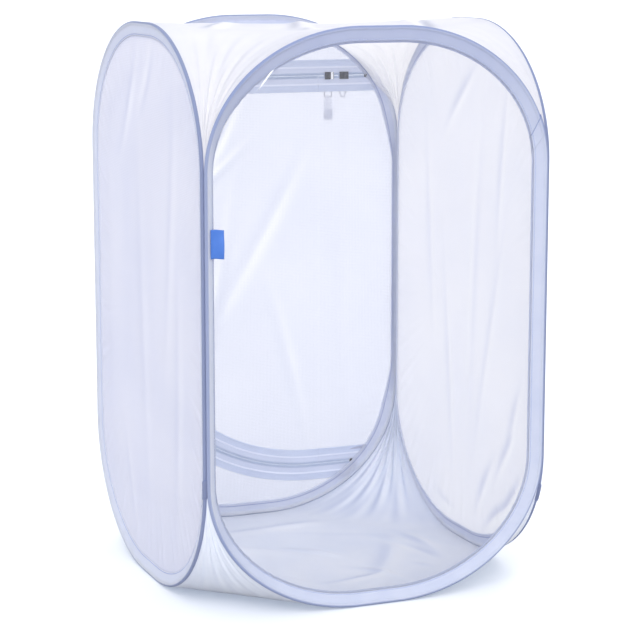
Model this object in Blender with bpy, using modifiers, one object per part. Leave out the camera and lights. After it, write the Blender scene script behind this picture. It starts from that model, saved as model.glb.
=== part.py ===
"""Pop-up insect cage: four wire hoops in binding, a clear window, mesh walls and a zipped rear door.

Metres, +Z up, the window faces -Y, and the origin is the centre of the footprint at floor level.
"""

import math

import bmesh
import bpy
import numpy as np
from mathutils import Matrix

# Driving sizes of the frame.
cage_height = 0.600
hoop_width = 0.379
top_straight = 0.0428
side_straight = 0.3118
corner_steps = 9

# Spring wire and the ferrule that joins its ends.
wire_radius = 0.00075
wire_end_gap = 0.0012
ferrule_inner_radius = 0.0010
ferrule_outer_radius = 0.0013
ferrule_length = 0.014
ferrule_steps = 12

# Cloth, film and the clearance between pieces that touch.
seat_gap = 0.0003
binding_cloth = 0.0005
binding_width = 0.0130
binding_steps = 6
mesh_thickness = 0.0004
film_thickness = 0.0004
panel_cloth = 0.0006
top_sag = 0.0050
tongue_steps = 6
sag_ring_shares = (0.67, 0.33)

# Zip in the rear panel: the coil's line is straight on top and below, with a long curve between.
zip_top_below_hoop = 0.073
zip_bottom_above_hoop = 0.055
zip_left_inside_hoop = 0.050
zip_top_reach_share = 0.62
zip_top_rise_share = 0.297
zip_bottom_reach_share = 0.953
zip_bottom_rise_share = 0.381
zip_corner_steps = 10
coil_radius = 0.0009
coil_clearance = 0.0007
tape_thickness = 0.0006
tape_width = 0.0127
stop_length = 0.0030

# Door flap: it folds on an upright line beside the parked sliders.
fold_line_from_right = 0.1035
fold_gap = 0.0003
coil_fold_gap = 0.0020
tape_fold_gap = 0.0008

# Sliders, pulls and tab.
slider_length = 0.0110
slider_width = 0.0085
slider_plate = 0.0008
slider_left_from_fold = 0.0140
slider_spacing = 0.0190
slider_post = 0.0008
bridge_radius = 0.0006
bridge_half_span = 0.0030
bridge_shoulder = 0.0010
ring_wire_radius = 0.0005
ring_half_width = 0.0046
ring_length = 0.0255
ring_corner = 0.0012
point_half_width_share = 0.42
point_rise_share = 0.30
tab_width = 0.0110
tab_length = 0.0268
tab_thickness = 0.0008
tab_eye_width = 0.0058
tab_eye_radius = 0.0014
tab_neck = 0.0035
tab_neck_thickness = 0.0006
tab_eye_steps = 10

# Side tag.
tag_width = 0.0115
tag_height = 0.0290
tag_thickness = 0.0005
tag_above_middle = 0.0890

# One overrun serves every cut, and points closer than the weld distance become one.
overrun = 0.010
weld_distance = 0.000001

# Worked out from the sizes above.
cavity_radius = ferrule_outer_radius + seat_gap
bulb_radius = cavity_radius + binding_cloth
half_width = hoop_width / 2 - bulb_radius
half_height = cage_height / 2 - bulb_radius
corner_reach = half_width - top_straight / 2
corner_drop = half_height - side_straight / 2
slot_half = mesh_thickness / 2 + seat_gap
flange_reach = binding_width - bulb_radius
seam_step = (2 * bulb_radius + seat_gap) / math.sqrt(2)
wall_distance = half_width + seam_step
sheet_inset = cavity_radius + seat_gap
coil_offset = coil_clearance + coil_radius
tape_start = coil_offset + coil_radius + seat_gap
tape_end = tape_start + tape_width
plate_inner = coil_radius + seat_gap
plate_outer = plate_inner + slider_plate
ring_depth = plate_outer + seat_gap + ring_wire_radius
bridge_depth = ring_depth + ring_wire_radius + seat_gap + bridge_radius
rear_reach = bridge_depth + bridge_radius
middle_y = (bulb_radius - rear_reach) / 2
front_y = middle_y - wall_distance
rear_y = middle_y + wall_distance
middle_z = cage_height / 2
zip_top = half_height + bulb_radius - zip_top_below_hoop
zip_bottom = zip_bottom_above_hoop - half_height - bulb_radius
zip_left = zip_left_inside_hoop - hoop_width / 2
fold_x = hoop_width / 2 - fold_line_from_right
door_width = fold_x - zip_left
door_height = zip_top - zip_bottom
zip_top_reach = zip_top_reach_share * door_width
zip_top_rise = zip_top_rise_share * door_height
zip_bottom_reach = zip_bottom_reach_share * door_width
zip_bottom_rise = zip_bottom_rise_share * door_height
slider_left_x = fold_x + slider_left_from_fold
slider_right_x = slider_left_x + slider_spacing

# Each wall's place and turn: the wall is drawn in its own plane and stood upright.
wall_places = {
    "front": ((0, front_y, middle_z), 0),
    "rear": ((0, rear_y, middle_z), 0),
    "left": ((-wall_distance, middle_y, middle_z), math.pi / 2),
    "right": ((wall_distance, middle_y, middle_z), math.pi / 2),
}


def clear_scene():
    for obj in list(bpy.data.objects):
        bpy.data.objects.remove(obj, do_unlink=True)


def new_collection(name):
    collection = bpy.data.collections.new(name)
    bpy.context.scene.collection.children.link(collection)
    return collection


def material(name, colour, roughness, metallic=0, alpha=1):
    """A Principled material with an sRGB colour given as a hex text."""
    made = bpy.data.materials.new(name)
    made.use_nodes = True
    shader = made.node_tree.nodes["Principled BSDF"]
    parts = [int(colour[i : i + 2], 16) / 255 for i in (0, 2, 4)]
    linear = [c / 12.92 if c <= 0.04045 else ((c + 0.055) / 1.055) ** 2.4 for c in parts]
    shader.inputs["Base Color"].default_value = (*linear, 1)
    shader.inputs["Roughness"].default_value = roughness
    shader.inputs["Metallic"].default_value = metallic
    shader.inputs["Alpha"].default_value = alpha
    made.diffuse_color = (*linear, alpha)
    return made


def place_in_wall(obj, wall, shift=(0, 0), depth=0):
    """Stands a piece drawn in the wall's plane upright; depth is outward for front and rear walls."""
    (x, y, z), turn = wall_places[wall]
    outward = depth if wall == "rear" else -depth
    obj.location = (x + shift[0], y + outward, z + shift[1])
    obj.rotation_euler = (math.pi / 2, 0, turn)


def finish(obj, name, paint, collection):
    obj.name = name
    obj.data.name = name
    obj.data.materials.append(paint)
    collection.objects.link(obj)
    return obj


def outline_curve(outlines, half_thickness):
    """A flat 2D curve, filled, with a named half thickness."""
    curve = bpy.data.curves.new("outline", "CURVE")
    curve.dimensions = "2D"
    curve.fill_mode = "BOTH"
    curve.extrude = half_thickness
    for outline in outlines:
        spline = curve.splines.new("POLY")
        spline.points.add(len(outline) - 1)
        for point, (u, v) in zip(spline.points, outline):
            point.co = (u, v, 0, 1)
        spline.use_cyclic_u = True
    return bpy.data.objects.new("outline", curve)


def line_curve(points, radius, cyclic=False, resolution=1):
    """A round wire along points in space."""
    curve = bpy.data.curves.new("line", "CURVE")
    curve.dimensions = "3D"
    curve.bevel_depth = radius
    curve.bevel_resolution = resolution
    curve.use_fill_caps = True
    spline = curve.splines.new("POLY")
    spline.points.add(len(points) - 1)
    for point, co in zip(spline.points, points):
        point.co = (*co, 1)
    spline.use_cyclic_u = cyclic
    return bpy.data.objects.new("line", curve)


def as_mesh(obj):
    """The curve's evaluated mesh as a mesh object, with its caps welded."""
    bpy.context.scene.collection.objects.link(obj)
    bpy.context.view_layer.update()
    graph = bpy.context.evaluated_depsgraph_get()
    mesh = bpy.data.meshes.new_from_object(obj.evaluated_get(graph))
    made = bpy.data.objects.new(obj.name, mesh)
    made.matrix_world = obj.matrix_world
    bpy.data.objects.remove(obj, do_unlink=True)
    work = bmesh.new()
    work.from_mesh(mesh)
    bmesh.ops.remove_doubles(work, verts=work.verts, dist=weld_distance)
    bmesh.ops.recalc_face_normals(work, faces=work.faces)
    work.to_mesh(mesh)
    work.free()
    return made


def combine(obj, other, operation, cutters):
    """Adds a Boolean modifier; the other object stays in the cutters collection as a wire."""
    cutters.objects.link(other)
    other.hide_render = True
    other.display_type = "WIRE"
    boolean = obj.modifiers.new(operation.title(), "BOOLEAN")
    boolean.operation = operation
    boolean.solver = "EXACT"
    boolean.object = other


def hoop_points(inset):
    """The hoop's centre line moved inward: straight sides between quarter ellipses."""
    quarter = np.linspace(0, math.pi / 2, corner_steps + 1)
    points = []
    for turn, (side, level) in enumerate(((1, -1), (1, 1), (-1, 1), (-1, -1))):
        angle = quarter + (turn - 1) * math.pi / 2
        cosine = np.cos(angle)
        sine = np.sin(angle)
        normal = np.stack([cosine / corner_reach, sine / corner_drop], 1)
        normal /= np.linalg.norm(normal, axis=1, keepdims=True)
        u = side * (half_width - corner_reach) + corner_reach * cosine
        v = level * (half_height - corner_drop) + corner_drop * sine
        points.append(np.stack([u, v], 1) - normal * inset)
    return np.concatenate(points)


def zip_points(offset, right):
    """The zip's line moved outward by offset, from the upper right end round to the lower right one."""
    upper = np.linspace(math.pi / 2, math.pi, zip_corner_steps + 1)
    lower = np.linspace(math.pi, 1.5 * math.pi, zip_corner_steps + 1)
    arcs = (
        (upper, zip_top_reach, zip_top_rise, zip_top - zip_top_rise),
        (lower, zip_bottom_reach, zip_bottom_rise, zip_bottom + zip_bottom_rise),
    )
    points = [np.array([[right, zip_top + offset]])]
    for angle, reach, rise, centre_v in arcs:
        normal = np.stack([np.cos(angle) / reach, np.sin(angle) / rise], 1)
        normal /= np.linalg.norm(normal, axis=1, keepdims=True)
        u = zip_left + reach + reach * np.cos(angle)
        v = centre_v + rise * np.sin(angle)
        points.append(np.stack([u, v], 1) + normal * offset)
    points.append(np.array([[right, zip_bottom - offset]]))
    return np.concatenate(points)


def box_points(low_u, high_u, low_v, high_v):
    return [(low_u, low_v), (high_u, low_v), (high_u, high_v), (low_u, high_v)]


def ring_arc(radius, start, end, steps):
    """Points on a circle about the profile's origin, angles in radians."""
    return [(radius * math.cos(a), radius * math.sin(a)) for a in np.linspace(start, end, steps + 1)]


def binding_profile():
    """A hairpin of cloth: round over the wire, open towards the panel between two flat flanges."""
    face = slot_half + binding_cloth
    outer_angle = math.asin(face / bulb_radius)
    inner_angle = math.asin(slot_half / cavity_radius)
    points = ring_arc(bulb_radius, outer_angle, 2 * math.pi - outer_angle, binding_steps)
    points += [(flange_reach, -face), (flange_reach, -slot_half)]
    points += ring_arc(cavity_radius, 2 * math.pi - inner_angle, inner_angle, binding_steps)
    points += [(flange_reach, slot_half), (flange_reach, face)]
    return points[::-1]


def make_binding(name, wall, profile, paint, collection):
    curve = bpy.data.curves.new(name, "CURVE")
    curve.dimensions = "2D"
    curve.fill_mode = "NONE"
    curve.bevel_mode = "OBJECT"
    curve.bevel_object = profile
    points = hoop_points(0)
    spline = curve.splines.new("POLY")
    spline.points.add(len(points) - 1)
    for point, (u, v) in zip(spline.points, points):
        point.co = (u, v, 0, 1)
    spline.use_cyclic_u = True
    obj = finish(bpy.data.objects.new(name, curve), name, paint, collection)
    place_in_wall(obj, wall)
    return obj


def make_wire(name, wall, paint, collection):
    """An open hoop whose two ends meet inside the ferrule, at the middle of the lower side."""
    loop = [(u, v, 0) for u, v in hoop_points(0)]
    ends = [(wire_end_gap / 2, -half_height, 0), (-wire_end_gap / 2, -half_height, 0)]
    obj = line_curve([ends[0], *loop, ends[1]], wire_radius)
    finish(obj, name, paint, collection)
    place_in_wall(obj, wall)
    return obj


def make_ferrule(name, wall, paint, collection):
    """A short tube: a rectangle turned about the wire's line."""
    half = ferrule_length / 2
    profile = [
        (-half, ferrule_outer_radius),
        (half, ferrule_outer_radius),
        (half, ferrule_inner_radius),
        (-half, ferrule_inner_radius),
    ]
    mesh = bpy.data.meshes.new(name)
    work = bmesh.new()
    corners = [work.verts.new((u, v, 0)) for u, v in profile]
    for i, corner in enumerate(corners):
        work.edges.new((corner, corners[(i + 1) % len(corners)]))
    work.to_mesh(mesh)
    work.free()
    obj = finish(bpy.data.objects.new(name, mesh), name, paint, collection)
    screw = obj.modifiers.new("Turn", "SCREW")
    screw.axis = "X"
    screw.steps = ferrule_steps
    screw.render_steps = ferrule_steps
    screw.use_merge_vertices = True
    screw.merge_threshold = weld_distance
    screw.use_normal_calculate = True
    screw.use_normal_flip = True
    place_in_wall(obj, wall, (0, -half_height))
    return obj


def make_sheet(name, wall, inset, thickness, paint, collection):
    obj = outline_curve([hoop_points(inset)], thickness / 2)
    finish(obj, name, paint, collection)
    place_in_wall(obj, wall)
    return obj


def make_cloth_cap(name, level, sag, paint, collection):
    """The top (level 1) or bottom (level -1) cloth: flat in the middle, with a tongue down each corner.

    Along each tongue the height follows the hoops' round corners, so the cloth meets both hoops.
    """
    edge = wall_distance - bulb_radius - seat_gap
    rise = bulb_radius - seat_gap
    angles = np.linspace(0, math.pi / 2, corner_steps + 1)
    inward = corner_reach * (1 - np.cos(angles))
    heights = half_height - corner_drop + corner_drop * np.sin(angles) + rise
    shares = np.linspace(0, 1, tongue_steps + 1)
    work = bmesh.new()
    rim = []
    for side, deep in ((1, 1), (1, -1), (-1, -1), (-1, 1)):
        rows = []
        for s, height in zip(inward, heights):
            start = np.array([side * (half_width - s), deep * edge])
            end = np.array([side * edge, deep * (half_width - s)])
            if side != deep:
                start, end = end, start
            line = start + (end - start) * shares[:, None]
            rows.append([work.verts.new((u, v, level * height)) for u, v in line])
        for low, high in zip(rows, rows[1:]):
            for i in range(tongue_steps):
                work.faces.new((low[i], low[i + 1], high[i + 1], high[i]))
        rim += rows[-1]
    ring = rim
    top = heights[-1]
    for share in sag_ring_shares:
        drop = sag * (1 - share * share)
        inner = [work.verts.new((v.co.x * share, v.co.y * share, level * top - drop)) for v in rim]
        for i in range(len(rim)):
            j = (i + 1) % len(rim)
            work.faces.new((ring[i], ring[j], inner[j], inner[i]))
        ring = inner
    centre = work.verts.new((0, 0, level * top - sag))
    for i in range(len(ring)):
        work.faces.new((ring[i], ring[(i + 1) % len(ring)], centre))
    bmesh.ops.recalc_face_normals(work, faces=work.faces)
    work.normal_update()
    if centre.normal.z * level < 0:
        bmesh.ops.reverse_faces(work, faces=work.faces)
    mesh = bpy.data.meshes.new(name)
    work.to_mesh(mesh)
    work.free()
    obj = finish(bpy.data.objects.new(name, mesh), name, paint, collection)
    solid = obj.modifiers.new("Cloth", "SOLIDIFY")
    solid.thickness = panel_cloth
    solid.offset = -1
    obj.location = (0, middle_y, middle_z)
    return obj


def right_edge_at(height):
    """How far right the rear wall is open at this height, up to the binding's inner edge."""
    points = hoop_points(flange_reach + seat_gap)
    upper = points[(points[:, 0] > 0) & (points[:, 1] * height > 0)]
    order = np.argsort(upper[:, 1])
    return float(np.interp(height, upper[order, 1], upper[order, 0]))


# The coils end at the stops, which sit against the binding.
coil_edge = coil_offset + coil_radius
top_stop_end = right_edge_at(zip_top + coil_edge)
bottom_stop_end = right_edge_at(zip_bottom - coil_edge)
top_coil_end = top_stop_end - stop_length - seat_gap
bottom_coil_end = bottom_stop_end - stop_length - seat_gap
beyond = hoop_width / 2 + overrun


def strip_outline(outer_offset, inner_offset, right):
    """The flat band between two lines beside the zip."""
    outer = zip_points(outer_offset, right)
    inner = zip_points(inner_offset, right)
    return np.concatenate([outer, inner[::-1]])


def make_rear_cloth(name, outline, thickness, paint, collection, cutters, inside=None):
    """A flat piece of the rear wall, cut along the binding's inner edge where it reaches that far."""
    obj = as_mesh(outline_curve([outline], thickness / 2))
    finish(obj, name, paint, collection)
    place_in_wall(obj, "rear")
    if inside is not None:
        limit = as_mesh(outline_curve([hoop_points(inside)], overrun))
        place_in_wall(limit, "rear")
        limit.name = name + "_limit"
        combine(obj, limit, "INTERSECT", cutters)
    return obj


def make_rear_mesh(paint, collection, cutters):
    """The mesh outside the zip, and the fixed strip between the fold line and the right binding."""
    mesh_edge = tape_end + seat_gap
    surround = as_mesh(outline_curve([hoop_points(sheet_inset)], mesh_thickness / 2))
    finish(surround, "rear_mesh_surround", paint, collection)
    place_in_wall(surround, "rear")
    opening = as_mesh(outline_curve([zip_points(mesh_edge, beyond)], overrun))
    opening.name = "rear_opening"
    place_in_wall(opening, "rear")
    combine(surround, opening, "DIFFERENCE", cutters)
    strip = box_points(
        fold_x + fold_gap / 2, beyond, zip_bottom + mesh_edge, zip_top - mesh_edge
    )
    make_rear_cloth(
        "rear_mesh_strip", strip, mesh_thickness, paint, collection, cutters, sheet_inset
    )


def make_coil(name, points, paint, collection):
    obj = line_curve([(u, v, 0) for u, v in points], coil_radius)
    finish(obj, name, paint, collection)
    place_in_wall(obj, "rear")
    return obj


def make_fixed_zip(tape, nylon, steel, collection, cutters):
    """The zip half on the panel's side, and the flap side's short fixed ends right of the fold line."""
    inside = flange_reach + seat_gap
    outline = strip_outline(tape_end, tape_start, beyond)
    make_rear_cloth(
        "zip_tape_surround", outline, tape_thickness, tape, collection, cutters, inside
    )
    tape_fold = fold_x + tape_fold_gap
    levels = {"top": (zip_top, -1), "bottom": (zip_bottom, 1)}
    coil_ends = {"top": top_coil_end, "bottom": bottom_coil_end}
    stop_ends = {"top": top_stop_end, "bottom": bottom_stop_end}
    for level, (line, inward) in levels.items():
        edges = sorted((line + inward * tape_start, line + inward * tape_end))
        outline = box_points(tape_fold, beyond, *edges)
        make_rear_cloth(
            f"zip_tape_{level}_end", outline, tape_thickness, tape, collection, cutters, inside
        )
        coil_line = line + inward * coil_offset
        points = [(fold_x + coil_fold_gap, coil_line), (coil_ends[level], coil_line)]
        make_coil(f"zip_coil_{level}_end", points, nylon, collection)
        outline = box_points(
            stop_ends[level] - stop_length, stop_ends[level], line - coil_edge, line + coil_edge
        )
        stop = outline_curve([outline], coil_radius)
        finish(stop, f"zip_stop_{level}", steel, collection)
        place_in_wall(stop, "rear")
    points = zip_points(coil_offset, top_coil_end)
    points[-1, 0] = bottom_coil_end
    make_coil("zip_coil_surround", points, nylon, collection)


def make_door(mesh_paint, tape, nylon, collection):
    """The flap left of the fold line, with its half of the zip; origins lie on the fold line."""
    mesh_edge = tape_end + seat_gap
    outlines = {
        "door_mesh": (zip_points(-mesh_edge, fold_x - fold_gap / 2), mesh_thickness, mesh_paint),
        "door_zip_tape": (
            strip_outline(-tape_start, -tape_end, fold_x - tape_fold_gap),
            tape_thickness,
            tape,
        ),
    }
    shift = np.array([fold_x, 0])
    made = []
    for name, (outline, thickness, paint) in outlines.items():
        obj = outline_curve([outline - shift], thickness / 2)
        finish(obj, name, paint, collection)
        place_in_wall(obj, "rear", (fold_x, 0))
        made.append(obj)
    points = zip_points(-coil_offset, fold_x - coil_fold_gap) - shift
    coil = make_coil("door_zip_coil", points, nylon, collection)
    place_in_wall(coil, "rear", (fold_x, 0))
    made.append(coil)
    return made


def slider_outline():
    """An H section: two plates joined by a post between the coils, with lips towards the tape."""
    half = slider_width / 2
    lip = tape_thickness / 2 + seat_gap
    post = slider_post / 2
    quarter = [
        (plate_inner, post),
        (plate_inner, tape_start),
        (lip, tape_start),
        (lip, half),
        (plate_outer, half),
    ]
    lower = [(depth, -height) for depth, height in reversed(quarter)]
    outer = quarter + lower
    return outer + [(-depth, -height) for depth, height in outer]


def make_slider(name, centre_x, paint, collection, cutters):
    """A slider body with the bridge that carries its pull; its origin is its own middle on the zip."""
    place = Matrix.Translation((centre_x, rear_y, middle_z + zip_top))
    turn = Matrix.Rotation(math.pi / 2, 4, "Z") @ Matrix.Rotation(math.pi / 2, 4, "X")
    body = as_mesh(outline_curve([slider_outline()], slider_length / 2))
    finish(body, name, paint, collection)
    body.matrix_world = place @ turn
    foot = plate_outer - slider_plate / 2
    shoulder = bridge_depth - bridge_shoulder
    flat = bridge_half_span - bridge_shoulder
    half_arch = [(foot, bridge_half_span), (shoulder, bridge_half_span), (bridge_depth, flat)]
    arch = half_arch + [(depth, -height) for depth, height in reversed(half_arch)]
    bridge = as_mesh(line_curve([(depth, height, 0) for depth, height in arch], bridge_radius))
    bridge.name = name + "_bridge"
    bridge.matrix_world = place @ turn
    combine(body, bridge, "UNION", cutters)
    return body


def make_pull_ring(name, centre_x, pointed, paint, collection):
    """A wire ring hung under the bridge; its origin is on the bar that it swings about."""
    w = ring_half_width
    corner = ring_corner
    if pointed:
        low = point_half_width_share * w
        foot = [(w, -ring_length * (1 - point_rise_share)), (low, -ring_length)]
    else:
        foot = [(w, corner - ring_length), (w - corner, -ring_length)]
    half = [(w - corner, 0), (w, -corner), *foot]
    loop = half + [(-u, v) for u, v in reversed(half)]
    obj = line_curve([(u, 0, v) for u, v in loop], ring_wire_radius, cyclic=True)
    finish(obj, name, paint, collection)
    obj.location = (centre_x, rear_y + ring_depth, middle_z + zip_top)
    return obj


def make_pull_tab(centre_x, paint, collection, cutters):
    """A flat tab with an eye round the left ring's lower bar; its origin is on that bar."""
    hole = ring_wire_radius + seat_gap
    neck = tab_neck_thickness / 2
    opening = math.asin(neck / tab_eye_radius)
    down = -math.pi / 2
    outer = ring_arc(tab_eye_radius, down + opening, down + 2 * math.pi - opening, tab_eye_steps)
    outer += [(-neck, -tab_neck - tab_thickness), (neck, -tab_neck - tab_thickness)]
    inner = ring_arc(hole, 0, 2 * math.pi, tab_eye_steps)[:-1]
    turn = Matrix.Rotation(math.pi / 2, 4, "Z") @ Matrix.Rotation(math.pi / 2, 4, "X")
    height = middle_z + zip_top - ring_length
    place = Matrix.Translation((centre_x, rear_y + ring_depth, height)) @ turn
    plate = box_points(-tab_thickness / 2, tab_thickness / 2, -tab_length, -tab_neck)
    body = as_mesh(outline_curve([plate], tab_width / 2))
    finish(body, "pull_tab", paint, collection)
    body.matrix_world = place
    eye = as_mesh(outline_curve([outer, inner], tab_eye_width / 2))
    eye.name = "pull_tab_eye"
    eye.matrix_world = place
    combine(body, eye, "UNION", cutters)
    return body


def make_side_tag(paint, collection):
    """A blank tag sewn in beside the front binding's left flange."""
    low = flange_reach + seat_gap - half_width
    centre = tag_above_middle
    outline = box_points(low, low + tag_width, centre - tag_height / 2, centre + tag_height / 2)
    obj = outline_curve([outline], tag_thickness / 2)
    finish(obj, "side_tag", paint, collection)
    place_in_wall(obj, "front", depth=slot_half + tag_thickness / 2)


def hang_on(pieces, parent):
    """Parents pieces to an axis empty or another piece, keeping each where it is."""
    bpy.context.view_layer.update()
    for piece in pieces:
        place = piece.matrix_world.copy()
        piece.parent = parent
        piece.matrix_parent_inverse = parent.matrix_world.inverted()
        piece.matrix_world = place
    bpy.context.view_layer.update()


def make_axis(name, x, y, collection):
    axis = bpy.data.objects.new(name, None)
    axis.empty_display_type = "SINGLE_ARROW"
    axis.empty_display_size = corner_drop
    axis.location = (x, y, middle_z)
    collection.objects.link(axis)
    return axis


def smooth_round_pieces(names, angle):
    for name in names:
        data = bpy.data.objects[name].data
        if isinstance(data, bpy.types.Mesh):
            data.shade_smooth()
            data.set_sharp_from_angle(angle=angle)


def main():
    clear_scene()
    cage = new_collection("insect_cage")
    cutters = new_collection("cutters")
    axes = new_collection("axes")
    binding_paint = material("binding_fabric", "C6CEE6", 0.7)
    mesh_paint = material("white_mesh", "DDE2F4", 0.8, alpha=0.55)
    cloth_paint = material("white_cloth", "E9ECF6", 0.6)
    film_paint = material("clear_film", "F4F6FA", 0.08, alpha=0.18)
    steel_paint = material("spring_steel", "8E9299", 0.35, metallic=1)
    metal_paint = material("zip_metal", "9C9A9E", 0.3, metallic=1)
    tape_paint = material("zip_tape", "BCC8E8", 0.75)
    nylon_paint = material("zip_nylon", "C3CCE4", 0.45)
    tab_paint = material("tab_plastic", "BFC7D4", 0.3, alpha=0.6)
    tag_paint = material("tag_ribbon", "5A8CEB", 0.55)

    profile = outline_curve([binding_profile()], 0)
    profile.data.fill_mode = "NONE"
    profile.name = "binding_profile"
    profile.hide_render = True
    profile.display_type = "WIRE"
    cutters.objects.link(profile)
    for wall in wall_places:
        make_wire(f"{wall}_wire_hoop", wall, steel_paint, cage)
        make_ferrule(f"{wall}_wire_ferrule", wall, steel_paint, cage)
        make_binding(f"{wall}_binding", wall, profile, binding_paint, cage)
    make_sheet("front_film_window", "front", sheet_inset, film_thickness, film_paint, cage)
    for wall in ("left", "right"):
        make_sheet(f"{wall}_mesh_panel", wall, sheet_inset, mesh_thickness, mesh_paint, cage)
    make_side_tag(tag_paint, cage)
    make_cloth_cap("top_panel", 1, top_sag, cloth_paint, cage)
    make_cloth_cap("bottom_panel", -1, 0, cloth_paint, cage)

    make_rear_mesh(mesh_paint, cage, cutters)
    make_fixed_zip(tape_paint, nylon_paint, metal_paint, cage, cutters)
    door = make_door(mesh_paint, tape_paint, nylon_paint, cage)
    slider_left = make_slider("slider_left", slider_left_x, metal_paint, cage, cutters)
    slider_right = make_slider("slider_right", slider_right_x, metal_paint, cage, cutters)
    ring_left = make_pull_ring("pull_ring_left", slider_left_x, False, metal_paint, cage)
    ring_right = make_pull_ring("pull_ring_right", slider_right_x, True, metal_paint, cage)
    tab = make_pull_tab(slider_left_x, tab_paint, cage, cutters)

    left_fold = make_axis("left_fold_axis", -half_width, front_y, axes)
    right_fold = make_axis("right_fold_axis", half_width, front_y, axes)
    rear_fold = make_axis("rear_fold_axis", -half_width, rear_y, axes)
    door_fold = make_axis("door_fold_axis", fold_x, rear_y + mesh_thickness / 2, axes)
    for wall, axis in (("left", left_fold), ("right", right_fold), ("rear", rear_fold)):
        hang_on([obj for obj in cage.objects if obj.name.startswith(wall)], axis)
    hang_on([obj for obj in cage.objects if obj.name.startswith("zip_")], rear_fold)
    hang_on([slider_left, slider_right, door_fold], rear_fold)
    hang_on([rear_fold], left_fold)
    hang_on(door, door_fold)
    hang_on([ring_left], slider_left)
    hang_on([ring_right], slider_right)
    hang_on([tab], ring_left)
    for piece in cutters.objects:
        if piece.name.startswith(("rear", "zip")):
            hang_on([piece], rear_fold)
    for slider in (slider_left, slider_right):
        hang_on([bpy.data.objects[slider.name + "_bridge"]], slider)
    hang_on([bpy.data.objects["pull_tab_eye"]], tab)
    smooth_round_pieces(["top_panel", "bottom_panel"], math.radians(30))


main()
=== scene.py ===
import functools
import math

import bmesh
import bpy
import numpy as np
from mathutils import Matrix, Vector


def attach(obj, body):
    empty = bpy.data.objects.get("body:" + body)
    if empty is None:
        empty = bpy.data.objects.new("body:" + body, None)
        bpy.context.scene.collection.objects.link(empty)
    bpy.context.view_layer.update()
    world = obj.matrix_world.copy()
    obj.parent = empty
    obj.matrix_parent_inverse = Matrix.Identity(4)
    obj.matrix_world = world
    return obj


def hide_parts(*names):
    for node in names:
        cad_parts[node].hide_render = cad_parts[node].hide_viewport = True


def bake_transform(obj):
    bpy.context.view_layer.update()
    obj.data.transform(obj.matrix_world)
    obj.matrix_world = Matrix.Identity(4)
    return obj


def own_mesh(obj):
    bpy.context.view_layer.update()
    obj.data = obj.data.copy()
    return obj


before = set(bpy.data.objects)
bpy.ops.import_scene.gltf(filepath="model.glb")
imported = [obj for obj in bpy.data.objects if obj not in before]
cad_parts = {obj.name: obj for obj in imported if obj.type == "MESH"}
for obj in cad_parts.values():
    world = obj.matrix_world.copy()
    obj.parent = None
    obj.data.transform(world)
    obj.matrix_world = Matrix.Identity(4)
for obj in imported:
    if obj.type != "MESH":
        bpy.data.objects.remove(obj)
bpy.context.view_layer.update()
print("frame loaded")

# The cage's own sizes in metres, as the CAD source has them. Change them there first.
cage = {
    "halfWidth": 0.1874,
    "halfHeight": 0.2979,
    "cornerReach": 0.166,
    "cornerDrop": 0.142,
    "wallDistance": 0.190582,
    "middleY": -0.00135,
    "middleZ": 0.300,
    "bulbRadius": 0.0021,
    "seatGap": 0.0003,
    "foldX": 0.086,
}

# Each wall stands upright: its middle, the way its width runs, the way it faces, and its body.
walls = {}
for wall, along, out, body in (
    ("front", (1, 0, 0), (0, -1, 0), "front_frame"),
    ("rear", (-1, 0, 0), (0, 1, 0), "rear_wall"),
    ("left", (0, -1, 0), (-1, 0, 0), "left_wall"),
    ("right", (0, 1, 0), (1, 0, 0), "right_wall"),
):
    middle = (cage["wallDistance"] * out[0], cage["middleY"] + cage["wallDistance"] * out[1], cage["middleZ"])
    walls[wall] = {"middle": middle, "along": along, "out": out, "body": body}


# Turns an sRGB hex text into the linear colour that a shader socket takes.
def linearColour(hexText):
    parts = np.array([int(hexText[i : i + 2], 16) / 255 for i in (0, 2, 4)])
    curved = ((parts + 0.055) / 1.055) ** 2.4
    return (*np.where(parts <= 0.04045, parts / 12.92, curved), 1)


# Gives a socket a value, a colour from its hex text, or another node's output to be joined to it.
def giveInput(socket, value):
    if isinstance(value, bpy.types.NodeSocket):
        socket.id_data.links.new(value, socket)
    else:
        socket.default_value = linearColour(value) if isinstance(value, str) else value


# Adds one node with its settings, its inputs in order or by name, and returns the output asked for.
def addNode(tree, kind, inputs=(), out=0, **settings):
    node = tree.nodes.new("ShaderNode" + kind)
    for name, value in settings.items():
        setattr(node, name, value)
    for name, value in inputs.items() if isinstance(inputs, dict) else enumerate(inputs):
        giveInput(node.inputs[name], value)
    return node.outputs[out]


# A material, what adds nodes to it, its Principled shader, its surface coordinates and the object's own.
def newMaterial(name):
    made = bpy.data.materials.new(name)
    made.use_nodes = True
    add = functools.partial(addNode, made.node_tree)
    shader = made.node_tree.nodes["Principled BSDF"]
    return made, add, shader, add("UVMap", uv_map="surface"), add("TexCoord", out="Object")


def setShader(shader, **inputs):
    for name, value in inputs.items():
        giveInput(shader.inputs[name.replace("_", " ")], value)


def showSurface(result):
    giveInput(result.id_data.nodes["Material Output"].inputs["Surface"], result)


# Lets light through a cloth: a share of what falls on its back glows on its face, and what cover leaves open shows what
# lies behind.
def letThrough(add, shader, base, normal, share, cover=None):
    glow = add("BsdfTranslucent", {"Color": base, "Normal": normal})
    cloth = add("MixShader", (share, shader.outputs[0], glow))
    if cover is not None:
        cloth = add("MixShader", (cover, add("BsdfTransparent"), cloth))
    showSurface(cloth)


# Threads at an even pitch both ways: 1 on a thread and 0 in a hole, from the distance to the nearest thread's middle.
def threadGrid(add, coordinates, pitch, width, soft):
    masks = []
    for axis in "XY":
        place = add("SeparateXYZ", (coordinates,), axis)
        away = add("Math", (place, pitch / 2), operation="PINGPONG")
        masks.append(add("MapRange", (away, width / 2 - soft, width / 2 + soft, 1, 0)))
    return add("Math", masks, operation="MAXIMUM")


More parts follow.
